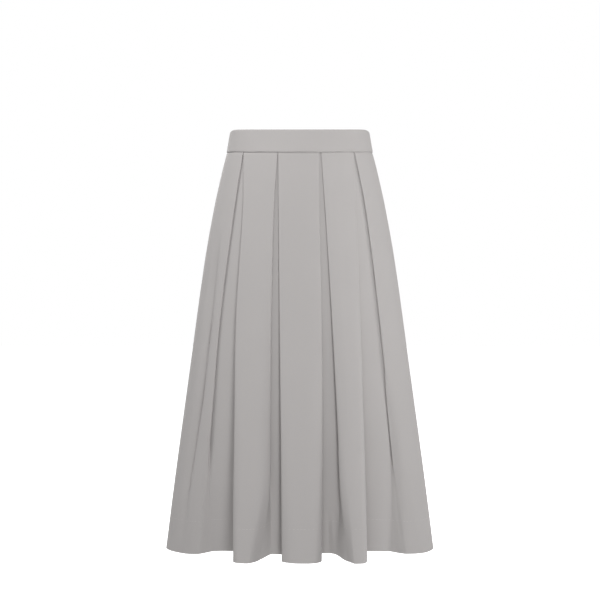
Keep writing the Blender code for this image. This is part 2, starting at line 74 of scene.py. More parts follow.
OPEN_SHIFT = 0.25  # an open fold's corners move this share of the way towards each other
ARC_LIMIT = 0.45  # an arc takes up to this share of the run beside its corner
CORNER_STRETCH = 0.7  # limits how far a wall reaches out at a sharp corner
FOLD_STEPS, CREST_STEPS = 5, 9  # points on an arc; a crest's is odd, to have one in its middle
SIDE_FILL, FACE_FILL, FOLD_FILL = 12, 7, 2  # points from one corner to the next
BEFORE_DRAPE_FILL, AFTER_DRAPE_FILL = 5, 6
CREST_ROUNDING = 0.010  # of a panel's middle
CREST_FLATNESS = 2.5  # from there a panel stays level, then turns in at its next edge
DRAPE_ROUNDING = (0.002, 0.012)  # at the waist and at the hem
SHARP_EDGE = math.radians(65)  # faces that meet at more than this are shaded apart

HEM_TURNING = 0.0610  # height of the turned-up hem
HEM_TURNING_THICKNESS = 0.0006  # what the turning adds inside
TURNING_STEP = 0.001  # height over which it sets in
HEM_ROUNDING, HEM_BLUNTNESS = 0.0008, 0.2  # height of the hem's round edge, and how blunt it is
TUCK, TUCK_HEIGHT = 0.0013, 0.0035  # the cloth's top edge rolls in towards the waist seam
INTO_BAND = 0.0009  # and goes up into the waistband
SEAM_ROLL, SEAM_ROLL_WIDTH = 0.0006, 0.0011  # its other edges roll in towards theirs
EDGE_STEPS = (0.0004, 0.0009, 0.0018, 0.0035)  # extra points, from an edge that has a seam
EDGE_RUN = 0.8  # the share of the run beside that edge which they may take
ALLOWANCE_WIDTH, ALLOWANCE_COLUMNS = 0.0100, 7  # a panel's edge, pressed open behind its seam
ALLOWANCE_CLEAR, ALLOWANCE_END = 0.0002, 0.0012  # behind the panel, and above the hem
CREASE_FADE = 0.7  # below 1 a crease keeps its depth until near its ends
CREASE_SLANT = 0.25  # a crease widens where its face slants away, down to this cosine

# Rows of points down a panel: the tuck, the panel, the hem stitches, the turning and the hem
TUCK_ROWS, PANEL_ROWS, TURNING_ROWS = 6, 108, 11
STITCH_ROWS = (-0.002, -0.001, 0.0, 0.001, 0.002)  # from the turning's upper edge
PANEL_TOP, ABOVE_STITCHES, BELOW_STITCHES, ABOVE_HEM = 0.006, 0.004, 0.006, 0.002  # clear of those

STITCH_PITCH, STITCH_LENGTH, STITCH_RADIUS = 0.0074, 0.0048, 0.00022
HALF_STITCH, HALF_STITCH_SPREAD = 0.40, 0.22  # half a stitch and how it varies, of that length
STITCH_SHIFT, STITCH_WANDER, STITCH_SLANT = 0.0014, 0.0006, 0.0004  # along, up and end to end
SHIFT_WAVE, SLANT_WAVE = 131.0, 190.0  # radians a metre at which those change along the hem
SPREAD_WAVES, SPREAD_PHASE, WANDER_WAVES = (83.0, 29.0), 1.0, (310.0, 47.0)
ROD_PROFILE = ((0.0, 0.25), (0.12, 0.85), (0.5, 1.0), (0.88, 0.85), (1.0, 0.25))  # share, width
ROD_SIDES = 6
NEARLY_UPRIGHT = 0.1  # the sine of a rod's slant, below which it is taken as upright

BAND_STEPS = 70  # along a quarter of the waistband
# The waistband's section, up its outer face, over its folded top and down its inner face
BAND_PROFILE = (
    # inset, rise
    (0.0000, 0.000),
    (-0.0006, 0.004),
    (-0.0010, 0.014),
    (-0.0012, 0.032),
    (-BAND_OUT, 0.070),
    (-0.0014, 0.110),
    (-BAND_OUT, 0.160),
    (-BAND_OUT, 0.300),
    (-BAND_OUT, 0.450),
    (-BAND_OUT, 0.600),
    (-BAND_OUT, 0.750),
    (-BAND_OUT, 0.880),
    (-BAND_OUT, 0.955),
    (-0.0012, 0.975),
    (-0.0009, 0.990),
    (-0.0004, 0.998),
    (0.0000, 1.000),
    (0.0004, 0.998),
    (0.0009, 0.990),
    (0.0012, 0.975),
    (BAND_IN_TOP, 0.955),
    (BAND_IN_TOP, 0.750),
    (0.0014, 0.500),
    (0.0015, 0.250),
    (0.0016, 0.070),
    (0.0015, 0.020),
    (0.0012, 0.004),
    (0.0008, 0.000),
)
BAND_MEASURED = 6  # the row of that profile on which the band's length is measured
# The band isn't dead flat, and the waist seam wanders by a fraction of a millimetre
BAND_SWELLS = (
    # size, waves a radian, phase, lean
    (0.00022, 7.0, 1.3, 0.0),
    (0.00012, 17.0, 0.0, 3.0),
)
SEAM_WAVES = (
    (0.00022, 11.0, 0.7, 0.0),
    (0.00014, 23.0, 2.1, 0.0),
)
SEAM_WAVE_FADE = 3  # how soon the seam's waves fade, up the band

ZIP_SLOT = 0.0016  # between the halves of the back waistband
TAPE = 0.0010  # thickness of its solid
TAPE_NEAR, TAPE_FAR = 0.0009, 0.0110  # the tape's edges, from the centre seam
TAPE_INSET = BAND_IN_BOTTOM + GAP + TAPE / 2  # behind the waistband
TAPE_BELOW_TOP = 0.0040
TAPE_STEP, TAPE_SLOPE = 0.0010, 0.0050  # where it passes from the waistband to the panel
TAPE_STEP_RISE = 0.1  # the share of the waistband's height over which it takes that step
TAPE_WEAVE = 0.0006  # thickness of the woven tape
SELVEDGE_SWELL, SELVEDGE_WIDTH = 0.35, 0.08  # as shares of its thickness and width
TAPE_BEHIND = 0.0015  # its middle, behind the panel's
TAPE_BAND_ROWS, TAPE_PANEL_ROWS, TAPE_PANEL_TOP = 8, 12, 0.0140
TAPE_COLUMNS, TAPE_SEAM_COLUMN = 13, 5  # points across it, and the one its stitches run down
TAPE_STITCH_PITCH, TAPE_HALF_STITCH = 0.0026, 0.36  # half a stitch is a share of the pitch
TAPE_STITCH_RADIUS = 0.8 * STITCH_RADIUS
ZIP_END = 0.1500  # below the waist seam
COIL_TOP_Z = 0.0070  # inside the slider
COIL_END = 0.0040  # from its last turn to the tape's lower end
COIL_AXIS = 0.0007  # from the centre seam
COIL_RADIUS, COIL_WIRE = 0.00075, 0.00022  # of its turns, and of the thread that it is wound from
COIL_PITCH, COIL_TURN_STEPS, COIL_SIDES = 0.0013, 12, 5

WAIST_SEAM_Z = -BAND_HEIGHT / 2

# The body ellipse at each height, over which the cloth is folded
BODY = (
    # below the waist seam, half width, half depth
    (0.0000, 0.1337, 0.0920),
    (0.0200, 0.1393, 0.0940),
    (0.0500, 0.1465, 0.0965),
    (0.1000, 0.1576, 0.0990),
    (0.2000, 0.1757, 0.1015),
    (0.4000, 0.2041, 0.1010),
    (0.6000, 0.2322, 0.0995),
    (0.7403, 0.2505, 0.0980),
)

# How much higher than level the hem hangs behind its waves
HEM_LIFTS = (
    # share of the half width, lift
    (0.00, 0.0090),
    (0.55, 0.0095),
    (0.74, 0.0020),
    (0.86, -0.0012),
    (0.94, -0.0016),
    (1.00, 0.0000),
)

# How far below the waist seam the rows below place a line, across from the middle of its face
LINE_DROPS = (0.000, 0.100, 0.300, 0.500, 0.630, SKIRT_LENGTH)


class Edge(NamedTuple):
    """One outer edge of a pleat, and the fold that it laps over."""

    line: tuple  # across from the middle, at LINE_DROPS
    lap: tuple  # hidden width behind the edge, at LINE_DROPS; negative where the fold has opened
    inset: float  # of the edge at the hem
    valley: float  # inset of the pleat's ground beside it at the hem
    softness: float  # how far from the edge its rounding starts at the hem
    steepness: float  # 1 where the ground rises evenly from the valley, more where it is sudden
    pinch: float  # how much deeper the fold is half-way down than at its ends


class Pleat(NamedTuple):
    """Two edges that face each other over the pleat's ground."""

    first: Edge
    second: Edge
    rise: float  # how far the middle of its ground stands out from its sides at the hem


class Crest(NamedTuple):
    """The middle of a panel between two pleats."""

    across: float  # at the hem
    inset: float  # at the hem


class Drape(NamedTuple):
    """A soft valley in a side panel."""

    line: tuple
    inset: float


class Crease(NamedTuple):
    """A soft trough, or a ridge where its depth is negative, with its ends fading out."""

    path: tuple  # (across, below the waist seam), from its upper end to its lower end
    width: float  # half of it
    depth: float


FRONT_PLEATS = (
    Pleat(
        Edge(
            (-0.1032, -0.1189, -0.1458, -0.1637, -0.1775, -0.1900),
            (0.024, 0.023, 0.018, 0.008, -0.006, -0.020),
            -0.0005, 0.013, 0.012, 1.0, -0.0003,
        ),
        Edge(
            (-0.1020, -0.1029, -0.1164, -0.1206, -0.1225, -0.1224),
            (0.022, 0.022, 0.020, 0.014, 0.009, 0.003),
            -0.0395, 0.019, 0.020, 2.5, 0.0010,
        ),
        0.008,
    ),
    Pleat(
        Edge(
            (-0.0402, -0.0467, -0.0516, -0.0539, -0.0562, -0.0740),
            (0.022, 0.022, 0.020, 0.012, 0.001, -0.018),
            -0.0225, -0.004, 0.012, 1.5, 0.0008,
        ),
        Edge(
            (-0.0387, -0.0381, -0.0365, -0.0347, -0.0335, -0.0328),
            (0.024, 0.024, 0.022, 0.016, 0.010, 0.004),
            -0.0275, -0.004, 0.014, 3.0, 0.0012,
        ),
        0.000,
    ),
    Pleat(
        Edge(
            (0.0347, 0.0351, 0.0398, 0.0422, 0.0418, 0.0404),
            (0.024, 0.024, 0.022, 0.016, 0.008, 0.002),
            -0.0270, 0.009, 0.008, 1.5, 0.0012,
        ),
        Edge(
            (0.0388, 0.0460, 0.0586, 0.0696, 0.0752, 0.0890),
            (0.021, 0.021, 0.020, 0.014, 0.004, -0.016),
            -0.0300, -0.006, 0.014, 1.0, 0.0008,
        ),
        0.000,
    ),
    Pleat(
        Edge(
            (0.0978, 0.1021, 0.1105, 0.1177, 0.1219, 0.1243),
            (0.020, 0.020, 0.018, 0.012, 0.006, 0.002),
            -0.0345, 0.022, 0.008, 1.7, 0.0020,
        ),
        Edge(
            (0.0996, 0.1200, 0.1460, 0.1677, 0.1835, 0.1990),
            (0.024, 0.023, 0.020, 0.010, -0.006, -0.022),
            0.0020, 0.017, 0.020, 1.0, 0.0000,
        ),
        0.014,
    ),
)
FRONT_CRESTS = (Crest(-0.1040, -0.049), Crest(0.0030, -0.042), Crest(0.1010, -0.053))
FRONT_DRAPE = Drape((-0.1240, -0.1370, -0.1620, -0.1890, -0.2080, -0.2255), 0.0080)
FRONT_CREASES = (
    Crease(
        ((-0.1480, 0.140), (-0.1630, 0.280), (-0.1830, 0.450), (-0.2055, 0.600), (-0.2200, 0.720)),
        0.0085, 0.0080,
    ),
    Crease(
        ((-0.1640, 0.520), (-0.1750, 0.600), (-0.1830, 0.650), (-0.1880, 0.735)),
        0.0070, 0.0035,
    ),
    Crease(
        ((0.1560, 0.400), (0.1690, 0.500), (0.1775, 0.580), (0.1830, 0.650), (0.1880, 0.715)),
        0.0090, 0.0046,
    ),
    Crease(((0.0520, 0.660), (0.0540, 0.735)), 0.0022, 0.0012),
    Crease(((0.0590, 0.668), (0.0600, 0.738)), 0.0018, -0.0009),
    Crease(((0.0655, 0.655), (0.0665, 0.730)), 0.0022, 0.0012),
    Crease(((0.1745, 0.676), (0.1760, 0.738)), 0.0020, 0.0009),
    Crease(((0.1810, 0.668), (0.1830, 0.736)), 0.0022, -0.0008),
)

# Seen from behind, so the first pleat is the one near the wearer's left side
BACK_PLEATS = (
    Pleat(
        Edge(
            (-0.1013, -0.1190, -0.1440, -0.1640, -0.1760, -0.1850),
            (0.024, 0.023, 0.018, 0.009, -0.005, -0.018),
            0.0020, 0.014, 0.012, 1.0, -0.0003,
        ),
        Edge(
            (-0.0998, -0.1020, -0.1120, -0.1180, -0.1200, -0.1210),
            (0.020, 0.020, 0.018, 0.013, 0.008, 0.003),
            -0.0380, 0.014, 0.018, 2.5, 0.0010,
        ),
        0.010,
    ),
    Pleat(
        Edge(
            (-0.0417, -0.0460, -0.0540, -0.0600, -0.0650, -0.0790),
            (0.020, 0.020, 0.018, 0.011, 0.001, -0.016),
            -0.0240, -0.004, 0.012, 1.5, 0.0008,
        ),
        Edge(
            (-0.0402, -0.0395, -0.0385, -0.0375, -0.0368, -0.0360),
            (0.022, 0.022, 0.020, 0.014, 0.009, 0.004),
            -0.0290, -0.003, 0.014, 2.5, 0.0012,
        ),
        0.000,
    ),
    Pleat(
        Edge(
            (0.0402, 0.0400, 0.0395, 0.0385, 0.0378, 0.0370),
            (0.022, 0.022, 0.020, 0.014, 0.008, 0.002),
            -0.0280, 0.006, 0.009, 1.5, 0.0012,
        ),
        Edge(
            (0.0417, 0.0470, 0.0560, 0.0640, 0.0710, 0.0820),
            (0.020, 0.020, 0.018, 0.012, 0.003, -0.013),
            -0.0300, -0.004, 0.013, 1.0, 0.0008,
        ),
        0.000,
    ),
    Pleat(
        Edge(
            (0.0998, 0.1030, 0.1110, 0.1170, 0.1200, 0.1220),
            (0.020, 0.020, 0.018, 0.012, 0.007, 0.003),
            -0.0360, 0.017, 0.009, 3.0, 0.0016,
        ),
        Edge(
            (0.1013, 0.1200, 0.1450, 0.1660, 0.1790, 0.1890),
            (0.024, 0.023, 0.019, 0.010, -0.005, -0.020),
            0.0015, 0.015, 0.016, 1.0, 0.0000,
        ),
        0.012,
    ),
)
BACK_CRESTS = (Crest(-0.1005, -0.050), Crest(0.0000, -0.042), Crest(0.1020, -0.051))
BACK_CREASES = (
    Crease(
        ((-0.1450, 0.150), (-0.1690, 0.350), (-0.1990, 0.560), (-0.2170, 0.715)),
        0.0100, 0.0046,
    ),
    Crease(
        ((0.1520, 0.210), (0.1790, 0.390), (0.2080, 0.590), (0.2200, 0.690)),
        0.0115, 0.0038,
    ),
    Crease(((-0.0720, 0.290), (-0.0745, 0.450), (-0.0735, 0.610)), 0.0080, -0.0014),
    Crease(((0.0765, 0.360), (0.0790, 0.520), (0.0800, 0.640)), 0.0070, 0.0013),
    Crease(((-0.0065, 0.012), (-0.0070, 0.156)), 0.0032, 0.0005),
    Crease(((0.0070, 0.020), (0.0068, 0.149)), 0.0028, 0.0006),
    Crease(((0.0540, 0.665), (0.0560, 0.735)), 0.0022, 0.0012),
    Crease(((-0.0520, 0.660), (-0.0540, 0.735)), 0.0024, 0.0011),
    Crease(((0.1650, 0.674), (0.1662, 0.737)), 0.0020, 0.0009),
)

FRONT = (FRONT_PLEATS, FRONT_CRESTS, FRONT_DRAPE)
BACK = (BACK_PLEATS, BACK_CRESTS, None)
BACK_SIDES = (("left", -1), ("right", 1))  # -1 is the wearer's left, seen from behind


# ---------------------------------------------------------------------- the cloth's sections


class Bend(NamedTuple):
    """A corner of a cross-section and how it is drawn."""

    angle: float
    inset: float
    rounding: float = 0.0  # distance from the corner at which its arc starts
    steps: int = 1  # points on that arc
    fill: int = 0  # points between this corner and the next
    ease: float = 0.0  # above 0 the run to the next corner levels out towards it, below 0 from here


def follow(heights, values, drop):
    """A table's value at any height, on a smooth curve through its rows."""
    last = len(heights) - 1
    low = min(max(int(np.searchsorted(heights, drop, side="right")) - 1, 0), last - 1)
    tangents = []
    for row in (low, low + 1):
        before, after = max(row - 1, 0), min(row + 1, last)
        tangents.append((values[after] - values[before]) / (heights[after] - heights[before]))
    span = heights[low + 1] - heights[low]
    f = (drop - heights[low]) / span
    return (
        values[low] * (1 + 2 * f) * (1 - f) ** 2
        + tangents[0] * span * f * (1 - f) ** 2
        + values[low + 1] * f * f * (3 - 2 * f)
        + tangents[1] * span * f * f * (f - 1)
    )


def body_at(drop):
    """Half width and half depth of the body ellipse."""
    heights, widths, depths = zip(*BODY)
    return follow(heights, widths, drop), follow(heights, depths, drop)


def place(body, angle, inset):
    """The plan point of (angle, inset), its face towards -Y."""
    return np.array(
        ((body[0] - inset) * math.sin(angle), -(body[1] - inset) * math.cos(angle))
    )


def angle_of(body, across, inset):
    return math.asin(max(-1.0, min(1.0, across / (body[0] - inset))))


def blend(at_waist, at_hem, share):
    return at_waist + (at_hem - at_waist) * share


def smooth(share):
    """Eases from 0 to 1."""
    share = np.clip(share, 0.0, 1.0)
    return share * share * (3 - 2 * share)


def edge_bends(edge, side, drop, body):
    """The outer edge and the inner fold behind it. side is -1 for a pleat's first edge."""
    share = drop / SKIRT_LENGTH
    opened = share**OPENING_GROWTH
    inset = edge.inset * opened
    pressed = blend(PRESSED_AT_SEAM, 1.0, smooth(drop / PRESSED_HEIGHT))
    valley = blend(2 * LAYER * pressed, edge.valley, opened)
    valley += edge.pinch * math.sin(math.pi * share)
    width = (valley - inset) * blend(FOLD_AT_WAIST, FOLD_AT_HEM, opened)
    lap = follow(LINE_DROPS, edge.lap, drop)
    openness = smooth((OPEN_LAP - lap) / (2 * OPEN_LAP))
    angle = angle_of(body, follow(LINE_DROPS, edge.line, drop), inset)
    reach = math.hypot(
        (body[0] - valley) * math.cos(angle), (body[1] - valley) * math.sin(angle)
    )
    behind = angle + side * lap / reach
    shift = OPEN_SHIFT * openness * (behind - angle)
    rounding = width * blend(FOLD_ROUNDING, OPEN_ROUNDING, openness)
    softness = edge.softness * share**SOFTNESS_GROWTH
    return [
        Bend(angle, inset, rounding + softness, FOLD_STEPS),
        Bend(angle + shift, inset + width, rounding, FOLD_STEPS, fill=FOLD_FILL),
        Bend(behind - shift, valley - width, rounding, FOLD_STEPS),
        Bend(behind, valley, rounding + softness * openness, FOLD_STEPS),
    ]


def face_bends(pleats, crests, drape, drop):
    """The body and all corners of the front or the back at one height, side seam to side seam."""
    body = body_at(drop)
    bends = [Bend(-math.pi / 2, 0.0, fill=SIDE_FILL)]
    if drape:
        bends = [Bend(-math.pi / 2, 0.0, fill=BEFORE_DRAPE_FILL), drape_bend(drape, drop, body)]
    for number, pleat in enumerate(pleats):
        first = edge_bends(pleat.first, -1, drop, body)
        second = edge_bends(pleat.second, 1, drop, body)
        first[-1] = first[-1]._replace(fill=FACE_FILL, ease=pleat.first.steepness)
        second.reverse()
        second[1] = second[1]._replace(fill=FOLD_FILL)
        second[2] = second[2]._replace(fill=0)
        bends += first + [ground_bend(pleat, first[-1], second[0], drop)] + second
        if number < len(crests):
            bends[-1] = bends[-1]._replace(fill=FACE_FILL, ease=1)
            bends.append(crest_bend(crests[number], pleat, pleats[number + 1], drop, body))
        else:
            bends[-1] = bends[-1]._replace(fill=SIDE_FILL)
    bends.append(Bend(math.pi / 2, 0.0))
    return body, bends


def ground_bend(pleat, left, right, drop):
    """The middle of a pleat's ground, which bulges forward between its two folds."""
    opened = (drop / SKIRT_LENGTH) ** OPENING_GROWTH
    inset = (left.inset + right.inset) / 2 - pleat.rise * opened
    middle = (left.angle + right.angle) / 2
    return Bend(middle, inset, fill=FACE_FILL, ease=-pleat.second.steepness)


def crest_bend(crest, before, after, drop, body):
    """The middle of a panel, which the hem's waves push out."""
    share = drop / SKIRT_LENGTH
    inset = crest.inset * share**OPENING_GROWTH
    middle = 0.5 * (
        follow(LINE_DROPS, before.second.line, drop) + follow(LINE_DROPS, after.first.line, drop)
    )
    across = blend(middle, crest.across, share**CREST_GROWTH)
    angle = angle_of(body, across, inset)
    return Bend(angle, inset, CREST_ROUNDING, CREST_STEPS, fill=FACE_FILL, ease=-CREST_FLATNESS)


def drape_bend(drape, drop, body):
    share = drop / SKIRT_LENGTH
    inset = drape.inset * share**OPENING_GROWTH
    angle = angle_of(body, follow(LINE_DROPS, drape.line, drop), inset)
    rounding = blend(*DRAPE_ROUNDING, share)
    return Bend(angle, inset, rounding, FOLD_STEPS, fill=AFTER_DRAPE_FILL)


def trace(body, bends):
    """The plan points of a cross-section: arcs at its bends and points between them."""
    corners = [place(body, bend.angle, bend.inset) for bend in bends]
    lengths = [float(np.linalg.norm(b - a)) for a, b in zip(corners, corners[1:])]

    def between(i, f):
        a, b = bends[i], bends[i + 1]
        eased = 1 - (1 - f) ** (1 + a.ease) if a.ease > 0 else f ** (1 - a.ease)
        return place(body, blend(a.angle, b.angle, f), blend(a.inset, b.inset, eased))

    points = []
    for i, bend in enumerate(bends):
        before = min(bend.rounding / lengths[i - 1], ARC_LIMIT) if i else 0.0
        after = min(bend.rounding / lengths[i], ARC_LIMIT) if i < len(lengths) else 0.0
        if bend.steps == 1:
            points.append(corners[i])
        else:
            start, end = between(i - 1, 1 - before), between(i, after)
            for step in range(bend.steps):
                q = step / (bend.steps - 1)
                points.append((1 - q) ** 2 * start + 2 * q * (1 - q) * corners[i] + q * q * end)
        if bend.fill:
            following = bends[i + 1]
            stop = 1 - min(following.rounding / lengths[i], ARC_LIMIT)
            for step in range(1, bend.fill + 1):
                points.append(between(i, after + (stop - after) * step / (bend.fill + 1)))
    return np.array(points)


def outward(points, first, last):
    """Directions square to the line, longer at its corners so that a wall keeps its thickness."""
    runs = np.diff(points, axis=0)
    runs /= np.linalg.norm(runs, axis=1)[:, None]
    before = np.vstack([runs[:1], runs])
    after = np.vstack([runs, runs[-1:]])
    middle = before + after
    middle /= np.linalg.norm(middle, axis=1)[:, None]
    normals = np.stack([middle[:, 1], -middle[:, 0]], axis=1)
    stretch = np.sum(middle * after, axis=1)
    normals /= np.clip(stretch, CORNER_STRETCH, 1.0)[:, None]
    normals[0], normals[-1] = first, last
    return normals


def cloth_height(points, body, drop):
    """Height of the cloth: the seam dips at the sides and the hem hangs uneven."""
    share = drop / SKIRT_LENGTH
    across = np.minimum(1.0, np.abs(points[:, 0] / body[0]))
    reach = np.hypot(points[:, 0] / body[0], points[:, 1] / body[1])
    dip = SEAM_DIP * (1 - share) * across**SIDE_SHARPNESS
    places, lifts = zip(*HEM_LIFTS)
    lift = np.array([follow(places, lifts, place_across) for place_across in across])
    lift = lift * smooth((LOBE_REACH - reach) / (LOBE_REACH - 1))
    return WAIST_SEAM_Z - drop - dip + lift * share**2


def whole_face(points, _):
    """A whole face, which ends square at both side seams, and the directions square to its ends."""
    points[0] = (points[0][0], -GAP / 2)
    points[-1] = (points[-1][0], -GAP / 2)
    return points, ((-1.0, 0.0), (1.0, 0.0))


def half_face(points, bends, side):
    """The part of a face on one side of its middle crest, which ends square at the centre seam."""
    crest = len(bends) // 2
    middle = sum(bend.steps + bend.fill for bend in bends[:crest]) + bends[crest].steps // 2
    points[middle][0] = side * GAP / 2
    if side < 0:
        points[0] = (points[0][0], -GAP / 2)
        return points[: middle + 1], ((-1.0, 0.0), (0.0, -1.0))
    points[-1] = (points[-1][0], -GAP / 2)
    return points[middle:], ((0.0, -1.0), (1.0, 0.0))


# ------------------------------------------------------------------------ the cloth's relief


def with_edge_points(points):
    """The line with a few more points near its ends, where the edges roll into their seams."""
    lines = []
    for end, neighbour in ((points[0], points[1]), (points[-1], points[-2])):
        run = neighbour - end
        length = np.linalg.norm(run)
        steps = np.array(EDGE_STEPS) * min(1.0, EDGE_RUN * length / EDGE_STEPS[-1])
        lines.append(end + run / length * steps[:, None])
    head, tail = lines[0], lines[1][::-1]
    return np.vstack([points[:1], head, points[1:-1], tail, points[-1:]])


def lengths_along(points):
    return np.concatenate([[0.0], np.cumsum(np.linalg.norm(np.diff(points, axis=0), axis=1))])


def on_line(line, along, distances):
    """Points at these distances along a line."""
    return np.column_stack([np.interp(distances, along, line[:, axis]) for axis in range(3)])


def crease_depth(creases, across, angles, drop):
    """How far the creases push the cloth in, at points of one cross-section."""
    total = np.zeros(len(across))
    for crease in creases:
        places, drops = zip(*crease.path)
        if not drops[0] < drop < drops[-1]:
            continue
        along = (drop - drops[0]) / (drops[-1] - drops[0])
        fade = math.sin(math.pi * along) ** CREASE_FADE
        centre = float(np.interp(drop, drops, places))
        distance = (across - centre) / np.maximum(CREASE_SLANT, np.cos(angles))
        total += crease.depth * fade * np.exp(-((distance / crease.width) ** 2))
    return total


def shaped_line(points, creases, body, drop):
    """Moves a section's points in and out: top tuck, seam rolls and creases."""
    angles = np.arctan2(points[:, 0] / body[0], -points[:, 1] / body[1])
    along = lengths_along(points)
    from_edge = np.minimum(along, along[-1] - along)
    depth = TUCK * (1 - smooth(drop / TUCK_HEIGHT))
    depth = depth + SEAM_ROLL * np.exp(-((from_edge / SEAM_ROLL_WIDTH) ** 2))
    depth = depth + crease_depth(creases, points[:, 0], angles, drop)
    inward = np.stack([-np.sin(angles), np.cos(angles)], axis=1)
    return points + inward * depth[:, None]


def row_drops():
    """Where the shell's rows lie below the waist seam: closer where the cloth turns or is sewn."""
    stitched = SKIRT_LENGTH - HEM_TURNING
    rows = list(np.linspace(0.0, TUCK_HEIGHT, TUCK_ROWS))
    rows += list(np.linspace(PANEL_TOP, stitched - ABOVE_STITCHES, PANEL_ROWS))
    rows += [stitched + step for step in STITCH_ROWS]
    rows += list(np.linspace(stitched + BELOW_STITCHES, SKIRT_LENGTH - ABOVE_HEM, TURNING_ROWS))
    rows += [SKIRT_LENGTH - HEM_ROUNDING, SKIRT_LENGTH]
    return rows


def wall(face, creases, cut):
    """Outer and inner grids of a panel's shell and its map of cloth metres."""
    outer, inner, grain = [], [], []
    for drop in row_drops():
        body, bends = face_bends(*face, drop)
        points, ends = cut(trace(body, bends), bends)
        points = shaped_line(with_edge_points(points), creases, body, drop)
        normals = outward(points, *ends)
        heights = cloth_height(points, body, drop) + INTO_BAND * (1 - smooth(drop / TUCK_HEIGHT))
        turning = smooth((drop - SKIRT_LENGTH + HEM_TURNING) / TURNING_STEP)
        turning *= HEM_TURNING_THICKNESS
        turning *= smooth((SKIRT_LENGTH - drop) / HEM_ROUNDING + HEM_BLUNTNESS)
        outer.append(np.column_stack([points + normals * CLOTH / 2, heights]))
        inner.append(np.column_stack([points - normals * (CLOTH / 2 + turning), heights]))
        along = lengths_along(points)
        grain.append(np.column_stack([along - along[-1] / 2, np.full(len(along), -drop)]))
    return np.array(outer), np.array(inner), np.array(grain)


def turned(points):
    """Points that were drawn as the front, turned to be the back."""
    return points * np.array((-1.0, -1.0, 1.0))


# --------------------------------------------------------------------------------- meshes


def grid_faces(index):
    return np.stack([index[:-1, :-1], index[1:, :-1], index[1:, 1:], index[:-1, 1:]], axis=-1)


def shell(name, outer, inner, grain, look):
    """A closed sheet between two grids of points, with the cloth's own metres as its UV map."""
    rows, columns = outer.shape[:2]
    count = rows * columns
    index = np.arange(count).reshape(rows, columns)
    front = grid_faces(index).reshape(-1, 4)
    rims = []
    for a, b in (
        (index[0, :-1], index[0, 1:]),
        (index[-1, 1:], index[-1, :-1]),
        (index[1:, 0], index[:-1, 0]),
        (index[:-1, -1], index[1:, -1]),
    ):
        rims.append(np.stack([a, b, b + count, a + count], axis=-1))
    faces = np.concatenate([front, front[:, ::-1] + count, *rims])
    points = np.concatenate([outer.reshape(-1, 3), inner.reshape(-1, 3)])
    grain = np.tile(grain.reshape(-1, 2), (2, 1))
    return add_mesh(name, points, faces.tolist(), look, grain)


def add_mesh(name, points, faces, look, grain=None):
    data = bpy.data.meshes.new(name)
    data.from_pydata(points.tolist(), [], faces)
    if grain is not None:
        layer = data.uv_layers.new(name="cloth")
        corners = np.empty(len(data.loops), dtype=np.int32)
        data.loops.foreach_get("vertex_index", corners)
        layer.data.foreach_set("uv", grain[corners].ravel())
    data.shade_smooth()
    data.set_sharp_from_angle(angle=SHARP_EDGE)
    data.materials.append(look)
    piece = bpy.data.objects.new(name, data)
    bpy.context.scene.collection.objects.link(piece)
    return piece


def tube_faces(count, sides, first=0):
    """Faces through a number of rings of points, with flat ends. first is their first point."""
    index = first + np.arange(count * sides).reshape(count, sides)
    following = np.roll(index, -1, axis=1)
    faces = np.stack([index[:-1], following[:-1], following[1:], index[1:]], axis=-1)
    return [*faces.reshape(-1, 4).tolist(), index[0, ::-1].tolist(), index[-1].tolist()]


def tube(name, rings, grain, look, flip=False):
    """A closed form through rings of points. flip turns its faces round."""
    faces = tube_faces(*rings.shape[:2])
    if flip:
        faces = [face[::-1] for face in faces]
    return add_mesh(name, rings.reshape(-1, 3), faces, look, grain.reshape(-1, 2))


def threads(name, starts, ends, radius, back):
    """Short round threads from starts to ends, with tapered tips, as one piece."""
    turns = 2 * math.pi * np.arange(ROD_SIDES)[:, None] / ROD_SIDES
    points, faces = [], []
    for start, end in zip(starts, ends):
        run = (end - start) / np.linalg.norm(end - start)
        across = np.cross(run, (0.0, 0.0, 1.0))
        if np.linalg.norm(across) < NEARLY_UPRIGHT:
            across = np.cross(run, (1.0, 0.0, 0.0))
        across = across / np.linalg.norm(across)
        ring = across * np.cos(turns) + np.cross(run, across) * np.sin(turns)
        faces += tube_faces(len(ROD_PROFILE), ROD_SIDES, len(points))
        for share, width in ROD_PROFILE:
            points += list(start + (end - start) * share + radius * width * ring)
    points = turned(np.array(points)) if back else np.array(points)
    return add_mesh(name, points, faces, THREAD_HIGHLIGHT_LOOK, points[:, [0, 2]])


# ------------------------------------------------------------------------------ materials

TWILL_SCALE = 2 * math.pi / 20  # of a diagonal wave texture with one band to a metre
THREAD_ACROSS, THREAD_ALONG = 1.2, 0.08  # spots of noise to a pitch, drawn out along a thread
THREAD_RELIEF, THREAD_TONES = 0.6, (0.93, 1.01)
DRIFT_SCALE, DRIFT_TONES = 9.0, (0.975, 1.025)
WEAVE_HEIGHT = 0.00012
SHEEN_ROUGHNESS, CLOTH_SPECULAR = 0.45, 0.25
WEAR_SCALE, WEAR_TONES, WEAR_ROUGHNESS = 260.0, (0.82, 1.12), (0.28, 0.46)
CAST_SCALE, CAST_STRENGTH, CAST_HEIGHT = 900.0, 0.25, 0.00008


